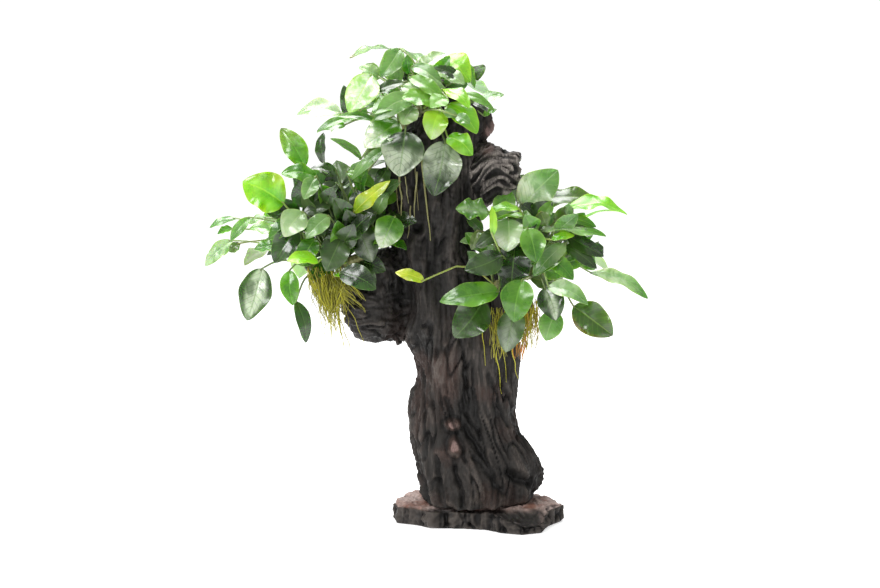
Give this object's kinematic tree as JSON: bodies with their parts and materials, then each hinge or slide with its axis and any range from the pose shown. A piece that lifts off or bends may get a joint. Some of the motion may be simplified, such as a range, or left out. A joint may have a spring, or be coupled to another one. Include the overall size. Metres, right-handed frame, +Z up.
{
  "type": "anubias plants on a driftwood tree",
  "caption": "Small tree of dark driftwood standing on a flat rough stone slab, with broad-leaved green water plants tied to its top and both limbs.",
  "frame": {"origin": "middle of the stone slab's flat underside", "axes": "+Z up the tree, +X to the right seen from the front, -Y towards the front"},
  "size_m": [0.371, 0.1562, 0.4038],
  "materials": {
    "slab_stone": "matte",
    "trunk_wood": "matte",
    "rhizome_green": "satin",
    "root_yellow": "matte",
    "leaf_dark": "satin",
    "leaf_mid": "satin",
    "leaf_lime": "satin",
    "leaf_pale": "satin"
  },
  "bodies": {
    "root": {"slab": "slab_stone", "trunk": "trunk_wood", "upper_stem": "trunk_wood", "knob": "trunk_wood", "left_limb": "trunk_wood", "right_limb": "trunk_wood", "top_rhizome": "rhizome_green", "top_roots": "root_yellow", "left_rhizome": "rhizome_green", "left_roots": "root_yellow", "right_rhizome": "rhizome_green", "right_roots": "root_yellow", "top_leaf_01": "leaf_pale", "top_leaf_02": "leaf_lime", "top_leaf_03": "leaf_pale", "top_leaf_04": "leaf_mid", "top_leaf_05": "leaf_lime", "top_leaf_06": "leaf_lime", "top_leaf_07": "leaf_lime", "top_leaf_08": "leaf_lime", "top_leaf_09": "leaf_dark", "top_leaf_10": "leaf_dark", "top_leaf_11": "leaf_pale", "top_leaf_12": "leaf_lime", "top_leaf_13": "leaf_pale", "top_leaf_14": "leaf_pale", "top_side_shoot": "leaf_mid", "left_leaf_01": "leaf_lime", "left_leaf_02": "leaf_mid", "left_leaf_03": "leaf_dark", "left_leaf_04": "leaf_mid", "left_leaf_05": "leaf_pale", "left_leaf_06": "leaf_dark", "left_leaf_07": "leaf_mid", "left_leaf_08": "leaf_lime", "left_leaf_09": "leaf_dark", "left_leaf_10": "leaf_dark", "left_leaf_11": "leaf_dark", "left_leaf_12": "leaf_mid", "left_leaf_13": "leaf_dark", "left_leaf_14": "leaf_lime", "left_leaf_15": "leaf_pale", "left_leaf_16": "leaf_dark", "left_side_shoot": "leaf_mid", "right_leaf_01": "leaf_pale", "right_leaf_02": "leaf_dark", "right_leaf_03": "leaf_lime", "right_leaf_04": "leaf_mid", "right_leaf_05": "leaf_mid", "right_leaf_06": "leaf_pale", "right_leaf_07": "leaf_mid", "right_leaf_08": "leaf_dark", "right_leaf_09": "leaf_mid", "right_leaf_10": "leaf_dark", "right_leaf_11": "leaf_mid", "right_leaf_12": "leaf_dark", "right_leaf_13": "leaf_pale", "right_leaf_14": "leaf_pale", "right_leaf_15": "leaf_dark", "right_side_shoot": "leaf_mid"}
  },
  "joints": []
}
